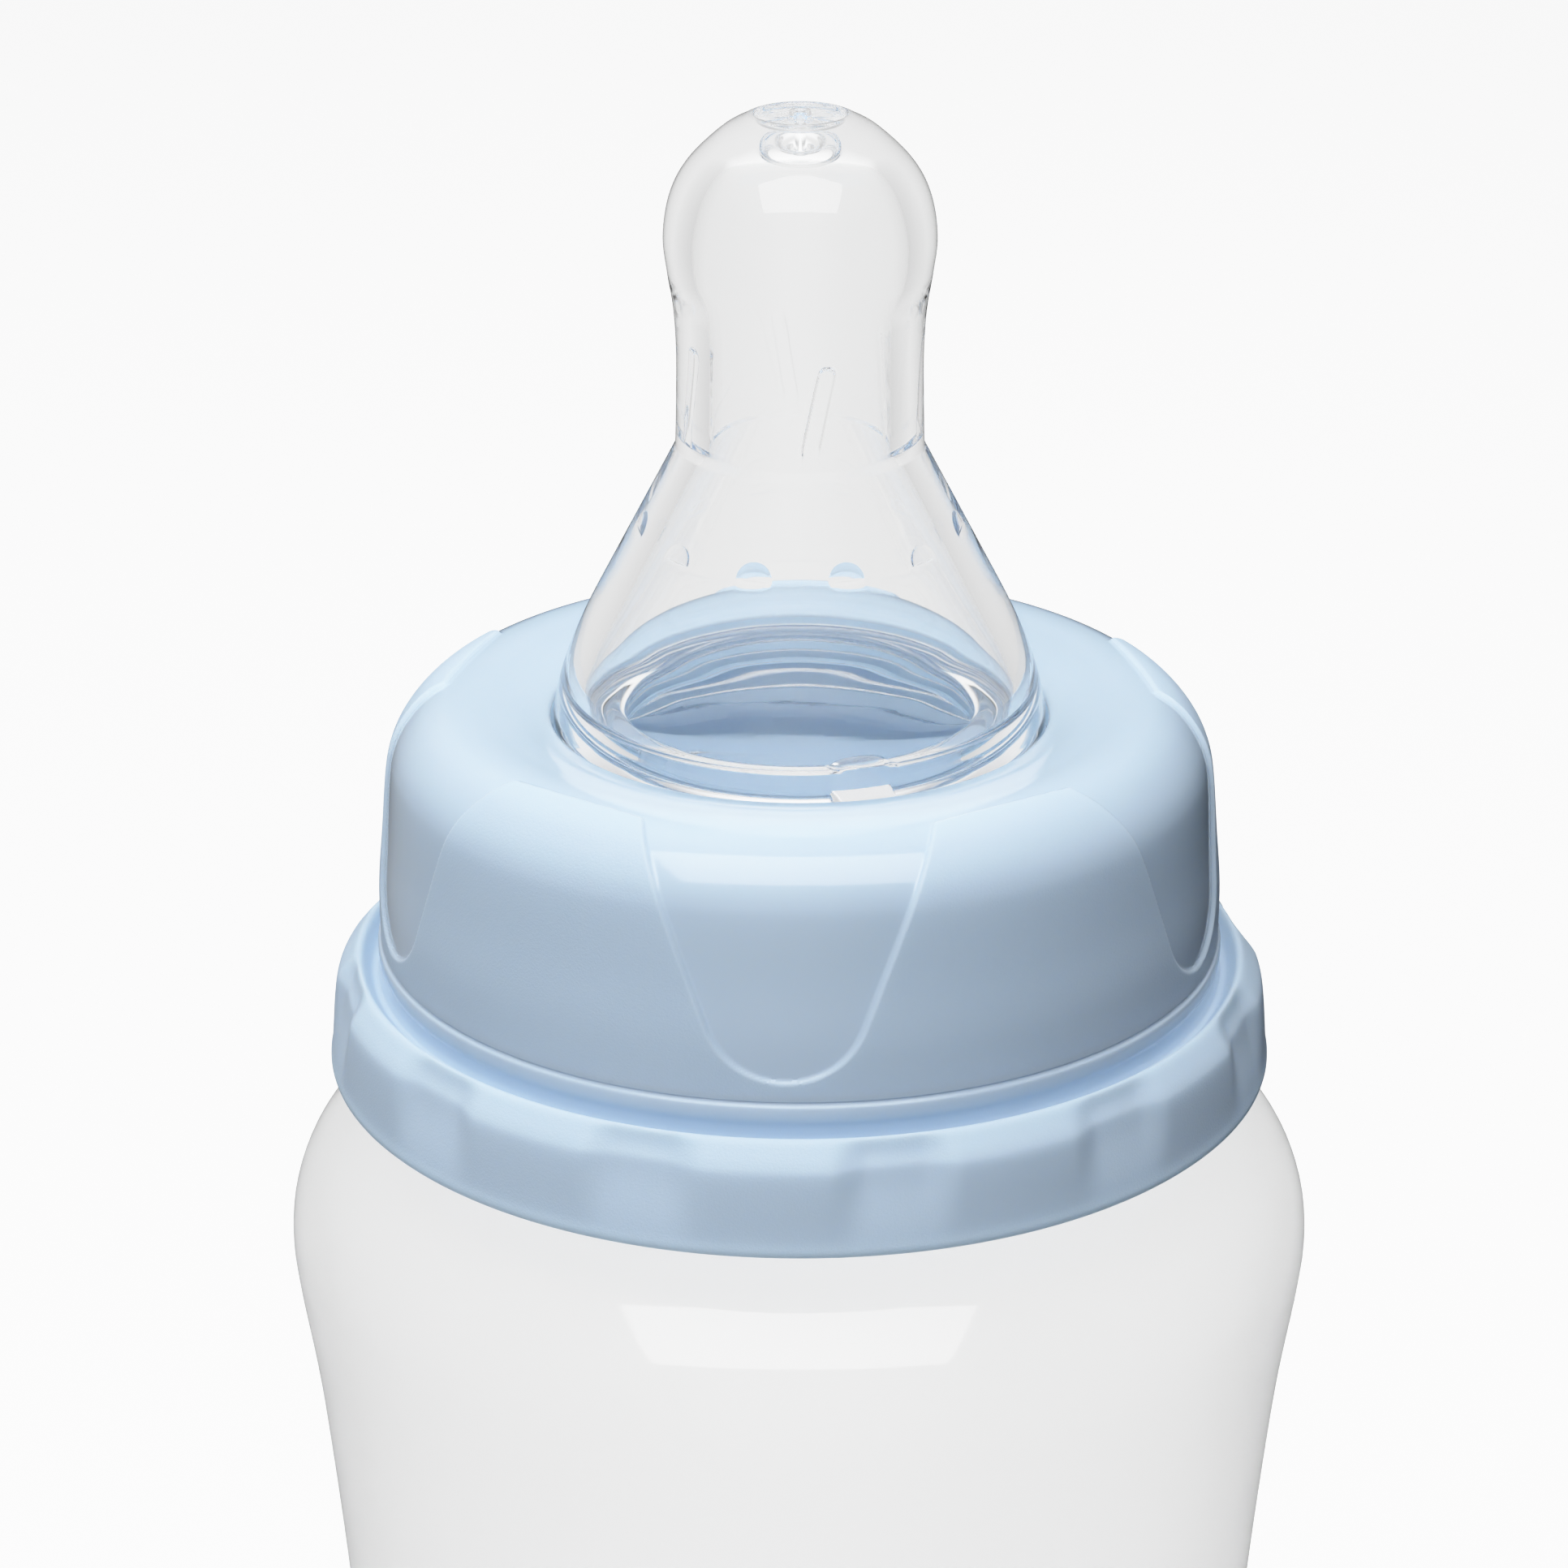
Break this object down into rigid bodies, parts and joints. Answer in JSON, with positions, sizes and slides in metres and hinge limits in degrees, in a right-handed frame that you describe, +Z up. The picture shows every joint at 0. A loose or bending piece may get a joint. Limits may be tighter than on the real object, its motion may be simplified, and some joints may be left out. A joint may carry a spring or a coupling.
{
  "type": "baby bottle",
  "caption": "Wide-neck feeding bottle with a waisted translucent body, a pale blue screw ring with glossy tongues, and a clear silicone teat.",
  "frame": {"origin": "centre of the bottle's underside, at table height", "axes": "+Z up along the axis of the bottle, -Y towards the side with the filling marks"},
  "size_m": [0.0636, 0.0636, 0.1691],
  "materials": {
    "bottle_plastic": "translucent milky polypropylene, glossy outside",
    "ring_plastic": "pale blue polypropylene, glossy tongues and top with satin panels and skirt",
    "silicone": "clear colourless liquid silicone rubber, glossy"
  },
  "bodies": {
    "bottle_body": {"bottle": "bottle_plastic"},
    "teat_body": {"teat": "silicone"},
    "ring_body": {"ring": "ring_plastic"}
  },
  "joints": [
    {"name": "teat_lift", "type": "slide", "parent": "bottle_body", "child": "teat_body", "axis": [0, 0, 1], "range_m": [0, 0.015]},
    {"name": "ring_unscrew", "type": "hinge", "parent": "teat_body", "child": "ring_body", "pos_m": [0, 0, 0.12], "axis": [0, 0, 1], "range_deg": [0, 1080]}
  ],
  "couplings": [
    {"joint": "ring_unscrew", "follows": "teat_lift", "rad_per_m": 1256.6}
  ]
}
